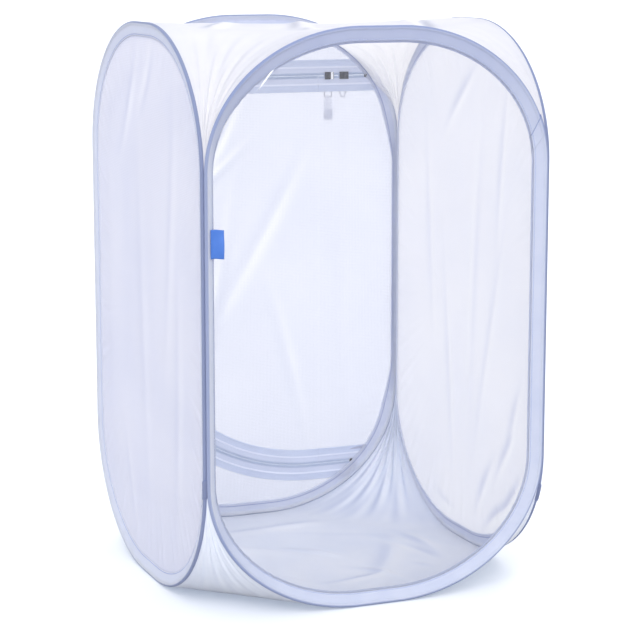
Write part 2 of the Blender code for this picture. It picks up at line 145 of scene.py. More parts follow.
# Lays coats of colour over a base one after another, each as far as its own share says.
def coated(add, base, *coats):
    for share, colour in coats:
        base = add("Mix", {0: share, 6: base, 7: colour}, 2, data_type="RGBA")
    return base


# Paints shade and highlight on a sheet's folds, from the value its own attribute holds: 0 darkest painted shade, 0.5
# untouched, 1 palest painted highlight.
def tintByFoldShade(add, base, darkHex, paleHex):
    foldShade = add("Attribute", out="Fac", attribute_name="foldShade")
    dark = add("MapRange", (foldShade, 0, 0.5, 1, 0))
    pale = add("MapRange", (foldShade, 0.5, 1, 0, 1))
    return coated(add, base, (dark, darkHex), (pale, paleHex))


# A mesh object from arrays: points, faces as rows of point numbers, and a UV pair and a painted fold shade value for
# each point.
def meshObject(name, points, faces, uv=None, foldShade=None):
    mesh = bpy.data.meshes.new(name)
    mesh.vertices.add(len(points))
    mesh.vertices.foreach_set("co", np.ascontiguousarray(points, np.float32).ravel())
    mesh.loops.add(faces.size)
    mesh.loops.foreach_set("vertex_index", np.ascontiguousarray(faces, np.int32).ravel())
    mesh.polygons.add(len(faces))
    mesh.polygons.foreach_set("loop_start", np.arange(0, faces.size, faces.shape[1], dtype=np.int32))
    mesh.update(calc_edges=True)
    if uv is not None:
        layer = mesh.uv_layers.new(name="surface")
        layer.data.foreach_set("uv", np.ascontiguousarray(uv, np.float32)[faces.ravel()].ravel())
    if foldShade is not None:
        values = np.ascontiguousarray(foldShade, np.float32).ravel()
        mesh.attributes.new("foldShade", "FLOAT", "POINT").data.foreach_set("value", values)
    made = bpy.data.objects.new(name, mesh)
    bpy.context.scene.collection.objects.link(made)
    return made


# Quads between neighbours of a grid of points, rows by columns; closed joins the last column to the first.
def gridFaces(rows, columns, closed=False):
    index = np.arange(rows * columns).reshape(rows, columns)
    if closed:
        index = np.concatenate([index, index[:, :1]], 1)
    corners = (index[:-1, :-1], index[1:, :-1], index[1:, 1:], index[:-1, 1:])
    return np.stack([corner.ravel() for corner in corners], 1)


# Welds the doubles, closes open ends if asked, turns the faces outwards and shades the mesh smooth up to an angle.
def finishMesh(made, sharp=35, closeEnds=False, weld=0.000002):
    work = bmesh.new()
    work.from_mesh(made.data)
    bmesh.ops.remove_doubles(work, verts=work.verts, dist=weld)
    if closeEnds:
        bmesh.ops.holes_fill(work, edges=[edge for edge in work.edges if edge.is_boundary], sides=0)
    bmesh.ops.recalc_face_normals(work, faces=work.faces)
    work.to_mesh(made.data)
    work.free()
    made.data.shade_smooth()
    made.data.set_sharp_from_angle(angle=math.radians(sharp))
    return made


# Grids of numbers of one shape, or stretched to it, as a grid of pairs or triples.
def paired(*grids):
    return np.stack(np.broadcast_arrays(*grids), 2)


# A grid of points shaped (rows, columns, 3) as one object, with a UV grid shaped (rows, columns, 2).
def gridObject(name, points, uv, closed=False, foldShade=None, **options):
    faces = gridFaces(*points.shape[:2], closed)
    made = meshObject(name, points.reshape(-1, 3), faces, uv.reshape(-1, 2), foldShade)
    return finishMesh(made, **options)


# Gives a piece its material and slot, and its body, unless it leans into the cage: then its place is baked into its
# mesh.
def dress(made, material, body, leaning=False):
    made.data.materials.clear()
    made.data.materials.append(material)
    if leaning:
        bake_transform(made)
    else:
        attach(made, body)
    return made


# A held sheet gets its own copy of its mesh.
def pressWithFold(made):
    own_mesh(made)


# Gives cloth its thickness, half of it on each side.
def thicken(made, thickness):
    solid = made.modifiers.new("Cloth", "SOLIDIFY")
    solid.thickness = thickness
    solid.offset = 0
    bpy.context.view_layer.objects.active = made
    graph = bpy.context.evaluated_depsgraph_get()
    mesh = bpy.data.meshes.new_from_object(made.evaluated_get(graph))
    made.modifiers.clear()
    old = made.data
    made.data = mesh
    mesh.name = made.name
    bpy.data.meshes.remove(old)
    return made


# Points in a wall's plane, and outwards of it, as points in space.
def onWall(wall, u, v, depth):
    place = walls[wall]
    middle, along, out = (np.array(place[key], float) for key in ("middle", "along", "out"))
    u, v, depth = np.broadcast_arrays(u, v, depth)
    return middle + u[..., None] * along + v[..., None] * np.array([0, 0, 1]) + depth[..., None] * out


# A line cut into pieces of equal length: its points, its unit normals to the right of the way walked, and the distance
# walked.
def evenLine(points, count, closed):
    if closed:
        points = np.concatenate([points, points[:1]])
    walked = np.concatenate([[0], np.cumsum(np.linalg.norm(np.diff(points, axis=0), axis=1))])
    places = np.linspace(0, walked[-1], count, endpoint=not closed)
    line = np.stack([np.interp(places, walked, points[:, axis]) for axis in (0, 1)], 1)
    if closed:
        step = np.roll(line, -1, 0) - np.roll(line, 1, 0)
    else:
        step = np.gradient(line, axis=0)
    step /= np.linalg.norm(step, axis=1, keepdims=True)
    normal = np.stack([step[:, 1], -step[:, 0]], 1)
    return {"points": line, "normals": normal, "walked": places, "length": walked[-1]}


# The hoop's centre line once round from the middle of its lower side: quarter ellipses joined by straight sides.
def hoopOutline():
    quarter = np.linspace(0, math.pi / 2, 400)
    lines = [np.array([[0, -cage["halfHeight"]]])]
    for turn, (side, level) in enumerate(((1, -1), (1, 1), (-1, 1), (-1, -1))):
        angle = quarter + (turn - 1) * math.pi / 2
        u = side * (cage["halfWidth"] - cage["cornerReach"]) + cage["cornerReach"] * np.cos(angle)
        v = level * (cage["halfHeight"] - cage["cornerDrop"]) + cage["cornerDrop"] * np.sin(angle)
        lines.append(np.stack([u, v], 1))
    return evenLine(np.concatenate(lines), 2400, True)


hoop = hoopOutline()

# How the binding is sewn: its width, and how far its flange leans into the cage on each side, in degrees.
binding = {
    "width": 0.0155,
    "outerFlap": 0.0132,
    "bulbHalf": 0.0021,
    "flangeHalf": 0.0008,
    "stitchInset": 0.0017,
    "samples": 900,
    "pucker": 0.00035,
    "puckerLength": 0.0105,
    "lap": {"front": 0.605, "rear": 0.35, "left": 0.25, "right": 1.45},
    "lapLength": 0.018,
    "lapSlant": 1.1,
    "lapRise": 0.0007,
    "heldInset": 0.0020,
    "lean": {
        "front": {"right": 14, "left": 44, "top": 6, "bottom": 28},
        "rear": {"right": 6, "left": 48, "top": 4, "bottom": 14},
        "left": {"right": 10, "left": 4, "top": 6, "bottom": 12},
        "right": {"right": 30, "left": 8, "top": 6, "bottom": 14},
    },
    "leanReach": {"front": 1.0, "rear": 0.19, "left": 1.0, "right": 1.0},
    "stitchPitch": 0.0031,
    "stitchLength": 0.0024,
    "threadHalf": 0.00022,
}
binding["phases"] = {wall: 0.7 + 1.9 * i for i, wall in enumerate(walls)}


def smoothStep(value, low, high):
    share = np.clip((np.asarray(value, float) - low) / (high - low), 0, 1)
    return share * share * (3 - 2 * share)


# A point on the binding's cross section, carried along the hoop: the section leans into the cage, more where the lean
# settings say, and its inner edge ripples as a straight tape sewn round a corner does.
def bindingPoint(wall, walked, inward, sideways):
    walked = np.mod(walked, hoop["length"])
    around = np.append(hoop["walked"], hoop["length"])

    def at(values):
        return np.interp(walked, around, np.append(values, values[0]))

    u, v = at(hoop["points"][:, 0]), at(hoop["points"][:, 1])
    normalU, normalV = at(hoop["normals"][:, 0]), at(hoop["normals"][:, 1])
    lean = binding["lean"][wall]
    sides = np.where(normalU > 0, lean["right"], lean["left"]) * normalU**2
    reach = binding["leanReach"][wall]
    sides = sides * (1 - smoothStep(np.abs(v), reach - 0.07, reach))
    levels = np.where(normalV > 0, lean["top"], lean["bottom"]) * normalV**2
    angle = np.radians(sides + levels)
    corner = 0.25 + 0.75 * 4 * (normalU * normalV) ** 2
    phase = binding["phases"][wall]
    turn = 2 * math.pi * walked / binding["puckerLength"]
    wave = np.sin(turn + phase) + 0.6 * np.sin(0.618 * turn + 2 * phase) + 0.4 * np.sin(1.414 * turn + 3 * phase)
    share = np.clip(inward / binding["width"], 0, 1)
    ripple = binding["pucker"] * corner * wave * share**2
    sideways = sideways + ripple
    plane = inward * np.cos(angle) + sideways * np.sin(angle)
    depth = sideways * np.cos(angle) - inward * np.sin(angle)
    return u - normalU * plane, v - normalV * plane, depth


# The binding's cross section, a closed line: round over the wire, drawn in behind it, then two flat flaps, the one
# inside the cage a little wider, so that its edge shows beside the other's.
def bindingSection():
    width, flap, bulb, half = binding["width"], binding["outerFlap"], binding["bulbHalf"], binding["flangeHalf"]
    neck = math.asin(min(1, (half + 0.0003) / bulb))
    bulbPart = [(bulb * math.cos(angle), bulb * math.sin(angle)) for angle in np.linspace(neck, 2 * math.pi - neck, 15)]

    def flapLine(end):
        stitch = end - binding["stitchInset"]
        inward = [0.0032, 0.0060, 0.0090, stitch - 0.0009, stitch, stitch + 0.0009, end - 0.0003]
        return list(zip(inward, [half + 0.0001, half, half, half, half * 0.62, half * 0.95, half * 0.85]))

    outer = flapLine(flap) + [(flap, half * 0.5), (flap, 0.0002)]
    inner = [(a, -b) for a, b in flapLine(width)] + [(width, -half * 0.5), (width - 0.0002, 0.0)]
    return np.array(inner[::-1] + [(flap + 0.0004, 0.0001)] + outer[::-1] + bulbPart)


# How far the tape's own end lifts it where it laps over its start, from the distance walked beyond the lap.
def lapRise(beyond):
    return np.where(np.mod(beyond, hoop["length"]) < binding["lapLength"], binding["lapRise"], 0)


def makeBinding(wall, material):
    section = bindingSection()
    lapLength, slant = binding["lapLength"], binding["lapSlant"]
    beyond = np.linspace(0, hoop["length"] + lapLength, binding["samples"])
    near = [place + np.linspace(-0.002, 0.002, 9) for place in (lapLength, hoop["length"])]
    beyond = np.unique(np.concatenate([beyond, *near]))[:, None]
    lift = binding["lapRise"] * smoothStep(beyond, hoop["length"] - 0.0004, hoop["length"] + 0.0004)
    inward = section[:, 0] - lift * (section[:, 0] < 0)
    sideways = section[:, 1] + np.sign(section[:, 1]) * lift
    walked = binding["lap"][wall] + beyond - slant * inward
    u, v, depth = bindingPoint(wall, walked, inward, sideways)
    uv = paired(beyond, inward)
    made = gridObject(f"{wall}_binding_tape", onWall(wall, u, v, depth), uv, True, sharp=50, closeEnds=True)
    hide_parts(f"{wall}_binding")
    return dress(made, material, walls[wall]["body"], leaning=wall == "front")


# Lockstitches on both faces: each is a short bowed thread whose ends sink into the tape.
def makeBindingStitches(wall, material):
    count = int(hoop["length"] / binding["stitchPitch"])
    starts = np.arange(count) * hoop["length"] / count
    along = np.array([-0.5, -0.25, 0.25, 0.5]) * binding["stitchLength"]
    lift = np.array([-0.00045, 0.00008, 0.00008, -0.00045])
    ring = np.array([[1, 0], [0, 1], [-1, 0], [0, -1]]) * binding["threadHalf"]
    points = []
    tube = gridFaces(len(along), len(ring), True)
    for side, end in ((1, binding["outerFlap"]), (-1, binding["width"])):
        walked = starts[:, None, None] + along[None, :, None] + 0 * ring[None, None, :, 0]
        across = end - binding["stitchInset"] + 0 * walked + ring[None, None, :, 0]
        beyond = walked - binding["lap"][wall] + binding["lapSlant"] * across
        base = side * (binding["flangeHalf"] * 0.62 + binding["threadHalf"] * 0.5 + lapRise(beyond))
        sideways = base + side * lift[None, :, None] + ring[None, None, :, 1]
        u, v, depth = bindingPoint(wall, walked, across, sideways)
        points.append(onWall(wall, u, v, depth).reshape(-1, 3))
    size = len(along) * len(ring)
    offsets = np.arange(2 * count) * size
    faces = (tube[None] + offsets[:, None, None]).reshape(-1, 4)
    ends = np.array([[3, 2, 1, 0], [size - 4, size - 3, size - 2, size - 1]])
    faces = np.concatenate([faces, (ends[None] + offsets[:, None, None]).reshape(-1, 4)])
    points = np.concatenate(points)
    made = meshObject(f"{wall}_binding_stitches", points, faces, np.zeros((len(points), 2)))
    finishMesh(made, sharp=80)
    return dress(made, material, walls[wall]["body"], leaning=wall == "front")


# Soft folds: each is a ridge that dies away along its length and across its width, on a line that bends a little. A row
# holds its middle's u and v in mm, its angle in degrees, its length, width and height in mm, and its bend.
def foldField(u, v, folds):
    total = np.zeros(np.shape(u))
    for foldU, foldV, angle, length, width, height, bend in folds:
        turned = math.radians(angle)
        du, dv = u - foldU / 1000, v - foldV / 1000
        along = (du * math.cos(turned) + dv * math.sin(turned)) / (length / 1000)
        across = (dv * math.cos(turned) - du * math.sin(turned)) / (width / 1000) - bend * along**2
        total += height / 1000 * np.exp(-(along**2) - across**2)
    return total


# Painted fold shade: how the folds slope towards the upper left of what is seen, taken as where the light comes from,
# carried to a tint's 0 to 1; sideways is 1 or -1.
def paintedFoldShade(u, v, folds, sideways=1, gain=1.1):
    step = 0.0006
    along = sideways * step
    rise = foldField(u + along, v + step, folds) - foldField(u - along, v - step, folds)
    return np.clip(0.5 + gain * rise / (2 * step), 0, 1)


# A sheet held all round in the binding: rings shrink from the binding's inner edge to the middle, and folds raise it.
def heldSheet(wall, folds, bulge, rings=90, samples=700, scallop=0.0004):
    walked = np.linspace(0, hoop["length"], samples, endpoint=False)
    held = binding["outerFlap"] - binding["heldInset"]
    edgeU, edgeV, edgeDepth = bindingPoint(wall, walked, held, 0.0)
    share = np.linspace(1, 0, rings)[:, None]
    u, v = edgeU * share, edgeV * share
    mean = float(np.mean(edgeDepth))
    depth = mean + (edgeDepth - mean) * share**3
    calm = 1 - smoothStep(share, 0.86, 0.99)
    depth = depth + bulge * (1 - share**2) + calm * foldField(u, v, folds)
    turn = 2 * math.pi * walked / 0.021
    wave = np.sin(turn) + 0.7 * np.sin(0.53 * turn + 1.0) + 0.5 * np.sin(1.37 * turn + 2.0)
    depth = depth + scallop * wave * share**6 * (1 - smoothStep(share, 0.93, 1.0))
    return u, v, depth


panels = {
    "left": {
        "bulge": -0.002,
        "folds": [
            (-55, 213, 60, 50, 8, 0.9, 0.3),
            (5, 240, 55, 35, 8, -0.8, 0.2),
            (-70, -205, 110, 55, 8, 0.8, 0.3),
            (80, 90, 82, 120, 11, 0.9, 0.2),
            (-20, -30, 94, 150, 12, 0.8, -0.2),
            (100, -90, 88, 120, 11, 0.9, 0.2),
        ],
    },
    "right": {
        "bulge": 0.002,
        "folds": [
            (-87, -251, 144, 26, 6.5, 1.8, 0.3),
            (-120, -226, 132, 30, 6, 1.8, -0.2),
            (-55, -224, 120, 30, 6.5, 1.6, 0.3),
            (-105, -178, 124, 32, 6, 1.5, 0.2),
            (-123, -134, 110, 30, 6.5, 1.3, 0.2),
            (46, -268, 17, 22, 6, 1.2, 0.3),
            (41, -97, 83, 100, 6.5, 1.1, 0.2),
            (93, 49, 85, 90, 7, 1.2, 0.2),
            (-86, 143, 97, 70, 6.5, 1.2, 0.3),
            (15, 213, 136, 40, 6.5, 1.4, 0.3),
            (-20, 20, 94, 130, 8, -1, 0.2),
            (-60, -60, 104, 100, 7, 1, 0.3),
        ],
    },
}


# A panel sewn into its wall's binding all round.
def holdPanel(made, wall, material):
    dress(made, material, walls[wall]["body"])
    pressWithFold(made)
    return made


def makeMeshPanel(wall, material):
    facts = panels[wall]
    u, v, depth = heldSheet(wall, facts["folds"], facts["bulge"])
    # Painted shade and highlight on the panel's folds, from which way they slope.
    foldShade = paintedFoldShade(u, v, facts["folds"], 1 if wall == "right" else -1)
    made = gridObject(f"{wall}_mesh_wall", onWall(wall, u, v, depth), paired(u, v), True, foldShade)
    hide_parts(f"{wall}_mesh_panel")
    return holdPanel(made, wall, material)


film = {
    "thickness": 0.0004,
    "bulge": -0.0015,
    "creases": [
        (-119.1, 253.8, 52.0, 21, 1.1, 0.9, 0.05),
        (-163.7, 207.2, 58.6, 18, 1, 0.5, 0.05),
    ],
    "folds": [
        (-100, 120, 40, 90, 20, 1, 0.3),
        (110, -130, 55, 100, 22, 1.2, -0.3),
        (50, 170, -35, 80, 20, 1, 0.2),
    ],
}


def makeFilm(material):
    folds = film["folds"] + film["creases"]
    u, v, depth = heldSheet("front", folds, film["bulge"], rings=110, samples=800, scallop=0.0002)
    made = gridObject("front_vinyl_window", onWall("front", u, v, depth), paired(u, v), True)
    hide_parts("front_film_window")
    return holdPanel(made, "front", material)


# The zip's line in the rear wall, seen with x to the right: its straight ends, and a long curve between.
zipLine = {
    "top": 0.227,
    "bottom": -0.245,
    "left": -0.1395,
    "topReach": 0.1398,
    "topRise": 0.1402,
    "bottomReach": 0.2149,
    "bottomRise": 0.1798,
    "topBandEnd": 0.1545,
    "bottomBandEnd": 0.1370,
    "topCoilEnd": 0.1453,
    "bottomCoilEnd": 0.1277,
    "coilOffset": 0.0016,
    "tapeStart": 0.0028,
    "hemStart": 0.0098,
    "bandEnd": 0.0188,
    "spacing": 0.002,
}
bandMiddle = 0.5 * (zipLine["hemStart"] + zipLine["bandEnd"])


# The zip's line moved outward by an offset, from its upper right end round the left to the lower right one.
def zipPath(offset, topEnd, bottomEnd, spacing=None):
    upper = np.linspace(math.pi / 2, math.pi, 300)
    lower = np.linspace(math.pi, 1.5 * math.pi, 300)
    left, top, bottom = zipLine["left"], zipLine["top"], zipLine["bottom"]
    x = [left + zipLine["topReach"] * (1 + np.cos(upper)), left + zipLine["bottomReach"] * (1 + np.cos(lower))]
    v = [top + zipLine["topRise"] * (np.sin(upper) - 1), bottom + zipLine["bottomRise"] * (np.sin(lower) + 1)]
    points = np.stack([np.concatenate(x), np.concatenate(v)], 1)
    points = np.concatenate([[[topEnd, top]], points, [[bottomEnd, bottom]]])
    length = np.linalg.norm(np.diff(points, axis=0), axis=1).sum()
    line = evenLine(points, int(length / (spacing or zipLine["spacing"])), False)
    moved = line["points"] + offset * line["normals"]
    return moved, line


# How far the rear binding's inner edge lies to the right at a height, and how deep, so that what meets it can follow.
def rearRightEdge(v, inward):
    walked = hoop["walked"]
    u, height, depth = bindingPoint("rear", walked, inward, 0.0)
    right = (u < 0) & (np.abs(height) < cage["halfHeight"] - 0.02)
    order = np.argsort(height[right])
    heights = height[right][order]
    return np.interp(v, heights, -u[right][order]), np.interp(v, heights, depth[right][order])


# Points of the rear wall by x, height and depth.
def onRear(x, v, depth):
    return onWall("rear", -np.asarray(x, float), v, depth)


# Half of the zip's band carried along the zip's line, on its outer side or the door's, and closed at its ends.
def makeBand(name, sign, topEnd, bottomEnd, material, body):
    section = np.array(bandSection(sign))
    _, line = zipPath(0, topEnd, bottomEnd)
    points, normals = line["points"], line["normals"]
    x = points[:, None, 0] + normals[:, None, 0] * section[None, :, 0]
    v = points[:, None, 1] + normals[:, None, 1] * section[None, :, 0]
    depth = np.broadcast_to(section[:, 1], x.shape)
    uv = paired(line["walked"][:, None], section[None, :, 0])
    made = gridObject(name, onRear(x, v, depth), uv, True, sharp=40, closeEnds=True)
    return dress(made, material, body)


# Half of the zip's band: woven tape from the coil, then the mesh's hem folded over its edge.
def bandSection(sign):
    start, hem, end = zipLine["tapeStart"], zipLine["hemStart"], zipLine["bandEnd"]
    face = [
        (0.0005, 0.00015),
        (start + 0.0004, 0.00020),
        (start + 0.0010, 0.00045),
        (start + 0.0018, 0.00030),
        (hem - 0.0002, 0.00030),
        (hem, 0.00085),
        (hem + 0.0006, 0.00100),
        (hem + 0.0016, 0.00065),
        (end - 0.0016, 0.00065),
        (end - 0.0008, 0.00085),
        (end, 0.00070),
    ]
    whole = face + [(offset, -depth) for offset, depth in reversed(face)]
    return [(sign * offset, depth) for offset, depth in whole]


# The meshing coils: a fine thread wound round the coil's line, half a turn apart on the two sides so that they mesh.
# The pitch is a medium zip's, and the thread is square to stay light.
coil = {"pitch": 0.0015, "across": 0.00150, "deep": 0.00072, "threadHalf": 0.00028, "stepsPerTurn": 10}


def makeCoil(name, offset, topEnd, bottomEnd, material, body):
    moved, line = zipPath(offset, topEnd, bottomEnd, coil["pitch"] / coil["stepsPerTurn"])
    return windCoil(name, moved, line["normals"], material, body, 0 if offset < 0 else math.pi)


def windCoil(name, points, normals, material, body, phase):
    turn = phase + 2 * math.pi * np.arange(len(points)) / coil["stepsPerTurn"]
    across, deep = coil["across"] * np.cos(turn), coil["deep"] * np.sin(turn)
    x = points[:, 0] + normals[:, 0] * across
    v = points[:, 1] + normals[:, 1] * across
    core = onRear(x, v, deep)
    step = np.gradient(core, axis=0)
    step /= np.linalg.norm(step, axis=1, keepdims=True)
    outward = onRear(x + normals[:, 0] * np.cos(turn), v + normals[:, 1] * np.cos(turn), deep + np.sin(turn)) - core
    side = np.cross(step, outward)
    side /= np.linalg.norm(side, axis=1, keepdims=True)
    outward = np.cross(side, step)
    ring = np.array([[1, 1], [-1, 1], [-1, -1], [1, -1]]) * coil["threadHalf"]
    tube = core[:, None] + outward[:, None] * ring[None, :, :1] + side[:, None] * ring[None, :, 1:]
    uv = paired(np.arange(len(points))[:, None] * 0.0001, ring[None, :, 0])
    made = gridObject(name, tube, uv, True, sharp=50, closeEnds=True)
    return dress(made, material, body)


rearFolds = [
    (-90, 130, 46, 60, 6, 2, 0.3),
    (-60, 100, 40, 50, 5, -1.4, 0.2),
    (-40, 150, 62, 50, 6, 1.4, 0.4),
    (20, 50, 60, 120, 9, 1.4, 0.3),
    (-50, -60, 78, 110, 8, -1.6, 0.2),
    (50, -120, 105, 80, 8, 1.4, 0.2),
]
stripFolds = [(120, 50, 88, 120, 9, 1.2, 0.2), (120, -100, 96, 90, 8, 1.2, 0.3)]


# A mesh in the rear wall, with its folds' painted shade, or 0.5 where it has none to tint.
def makeRearMesh(name, replaced, grid, foldShade, material, body):
    x, v, _ = grid
    made = gridObject(name, onRear(*grid), paired(x, v), foldShade=foldShade + np.zeros(x.shape))
    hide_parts(replaced)
    return dress(made, material, body)


# The mesh outside the zip: rows run from the zip band's outer edge to the binding. Evenness 1 spreads its lines evenly
# round the cage's middle, and 0 leaves each at its own angle. The waves stay off the mesh nearer the band than the calm
# width's first number, and are whole beyond its second.
surroundMesh = {
    "rows": 26,
    "spacing": 0.0016,
    "heldInset": 0.0013,
    "evenness": 0.35,
    "calmWidth": (0.0045, 0.02),
    "waveLength": 0.026,
    "waveHeights": (0.0006, 0.0005),
}


def makeRearSurround(material):
    held = binding["outerFlap"] - binding["heldInset"]
    topEnd, _ = rearRightEdge(zipLine["top"] + bandMiddle, held)
    bottomEnd, _ = rearRightEdge(zipLine["bottom"] - bandMiddle, held)
    moved, line = zipPath(bandMiddle, float(topEnd), float(bottomEnd), surroundMesh["spacing"])
    inset = binding["outerFlap"] - surroundMesh["heldInset"]
    heldU, heldV, heldDepth = bindingPoint("rear", hoop["walked"], inset, 0.0)
    angle = np.unwrap(np.arctan2(heldV, -heldU))
    order = np.argsort(np.mod(angle, 2 * math.pi))
    around = np.mod(angle, 2 * math.pi)[order]
    first = math.atan2(moved[0, 1], moved[0, 0])
    last = math.atan2(moved[-1, 1], moved[-1, 0]) + 2 * math.pi
    wanted = first + (last - first) * line["walked"] / line["length"]
    own = np.unwrap(np.arctan2(moved[:, 1], moved[:, 0]))
    wanted = np.mod(surroundMesh["evenness"] * wanted + (1 - surroundMesh["evenness"]) * own, 2 * math.pi)
    held = [values[order] for values in (-heldU, heldV, heldDepth)]
    outerX, outerV, outerDepth = (np.interp(wanted, around, values, period=2 * math.pi) for values in held)
    share = np.linspace(0, 1, surroundMesh["rows"])[:, None]
    x = moved[:, 0] + (outerX - moved[:, 0]) * share
    v = moved[:, 1] + (outerV - moved[:, 1]) * share
    depth = outerDepth * share**2
    width = np.hypot(outerX - moved[:, 0], outerV - moved[:, 1])
    calm = smoothStep(share * width, *surroundMesh["calmWidth"]) * (1 - smoothStep(share, 0.8, 1))
    turn = 2 * math.pi * line["walked"] / surroundMesh["waveLength"]
    first, second = surroundMesh["waveHeights"]
    depth = depth + calm * (first * np.sin(turn) + second * np.sin(0.43 * turn + 1))
    return makeRearMesh("rear_mesh_round_zip", "rear_mesh_surround", (x, v, depth), 0.5, material, "rear_wall")


# The fixed strip of mesh from the fold line to the binding, which it meets at the binding's own depth.
def makeRearStrip(material):
    v = np.linspace(zipLine["bottom"] + bandMiddle, zipLine["top"] - bandMiddle, 300)[:, None]
    edge, edgeDepth = rearRightEdge(v, binding["outerFlap"] - 0.0010)
    start = cage["foldX"] + 0.00002
    share = np.linspace(0, 1, 34)[None, :]
    x = start + (edge - start) * share
    depth = edgeDepth * smoothStep(share, 0.25, 1.0)
    calm = smoothStep(share, 0.1, 0.4) * (1 - smoothStep(share, 0.85, 1))
    v = v + 0 * x
    depth = depth + calm * foldField(x, v, stripFolds)
    made = makeRearMesh("rear_mesh_fixed_strip", "rear_mesh_strip", (x, v, depth), 0.5, material, "rear_wall")
    pressWithFold(made)
    return made


# The door's mesh: rows run from the zip band's inner edge straight across to the fold line.
def makeDoorMesh(material):
    moved, _ = zipPath(-bandMiddle, cage["foldX"], cage["foldX"], 0.004)
    edge = moved[moved[:, 0] < cage["foldX"] - 0.004]
    share = np.linspace(0, 1, 60)[None, :]
    x = edge[:, :1] + (cage["foldX"] - 0.00002 - edge[:, :1]) * share
    v = np.broadcast_to(edge[:, 1:], x.shape)
    calm = smoothStep(share, 0.02, 0.2) * (1 - smoothStep(share, 0.75, 0.98))
    depth = calm * foldField(x, v, rearFolds)
    # Painted shade and highlight on the door mesh's folds, from which way they slope.
    foldShade = 0.5 + calm * (paintedFoldShade(x, v, rearFolds, -1) - 0.5)
    return makeRearMesh("door_mesh_flap", "door_mesh", (x, v, depth), foldShade, material, "door_flap")


# Which way the door's side of the zip lies on its two straight stretches.
inwardOf = {"top": -1, "bottom": 1}


# A straight piece of the zip's band to the right of the fold line.
def makeBandEnd(level, material):
    line, inward = zipLine[level], inwardOf[level]
    section = np.array(bandSection(1))
    edge, _ = rearRightEdge(line + inward * section[:, 0], binding["outerFlap"] - 0.002)
    start = cage["foldX"] + 0.0001
    share = np.linspace(0, 1, 24)[:, None]
    x = start + (edge - start) * share
    v = line + inward * section[:, 0] + 0 * x
    depth = section[:, 1] + 0 * x
    uv = paired(x, section[:, 0])
    made = gridObject(f"zip_band_{level}_end", onRear(x, v, depth), uv, True, sharp=40, closeEnds=True)
    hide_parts(f"zip_tape_{level}_end")
    return dress(made, material, "rear_wall")


def makeCoilEnd(level, material):
    line, inward = zipLine[level], inwardOf[level]
    end = zipLine[level + "CoilEnd"]
    x = np.arange(cage["foldX"] + 0.0004, end, coil["pitch"] / coil["stepsPerTurn"])
    points = np.stack([x, np.full(len(x), line + inward * zipLine["coilOffset"])], 1)
    normals = np.broadcast_to([0.0, -inward], points.shape)
    made = windCoil(f"zip_spiral_{level}_end", points, normals, material, "rear_wall", 0)
    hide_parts(f"zip_coil_{level}_end")
    return made


# Top and bottom cloth: its height follows the hoops' round corners, so that it meets all four of them.
cap = {
    "edge": 0.1901,
    "sag": {"top": 0.004, "bottom": 0.0},
    "rearDip": {"top": 0.0118, "bottom": 0.0},
    "dipReach": 0.6,
    "hollow": {"top": 0.006, "bottom": 0.0024},
    "sheetSize": (0.46, 0.46),
    "sheetArea": 0.2115,
    "cornerSag": {"top": (0.008, 0.030), "bottom": (0.0, 0.0)},
    "cornerPaintedShade": {"top": (0.0, 0.0), "bottom": (0.15, 0.13)},
    "gathers": {("bottom", 1, 1): 0.0042, ("top", -1, -1): 0.0018, ("top", 1, 1): 0.0020},
    "tongueRows": 56,
    "tongueColumns": 64,
}
capFolds = {
    "top": [
        (46, 130, 76, 60, 6, 2.7, 0.3),
        (88, -130, 75, 60, 6, 2.7, 0.3),
        (119, -30, 75, 70, 7, -3, 0.2),
        (140, 50, 66, 50, 8, 2.7, 0.3),
        (53, 90, 95, 40, 8, -2.8, 0.3),
        (-124, -43, 55, 60, 8, 3.2, 0.3),
        (-100, 70, 58, 60, 8, -3.2, 0.3),
        (-20, -20, 70, 80, 9, 2.8, 0.3),
        (-60, -150, 70, 60, 8, 2.8, 0.2),
    ],
    "bottom": [
        (130, 120, 111, 40, 6, 2.4, 0.3),
        (118, -18, 106, 40, 8, -2.2, 0.3),
        (140, 10, 95, 40, 7, 2.2, 0.3),
        (115, -100, 114, 26, 6, 2.4, 0.4),
        (49, -92, 120, 26, 6, 2.4, 0.4),
        (8, 9, 132, 30, 7, 2.2, 0.3),
        (16, -103, 11, 30, 6, 1.8, 0.3),
        (-61, -77, 129, 30, 8, 2.2, 0.3),
        (80, -40, 60, 70, 12, 2.2, 0.4),
        (60, 80, 150, 80, 12, -2, 0.2),
        (-80, 60, 145, 80, 10, 2.2, 0.4),
        (-110, -40, 60, 70, 10, 1.8, 0.3),
        (0, 120, 5, 90, 10, 1.8, 0.3),
    ],
}


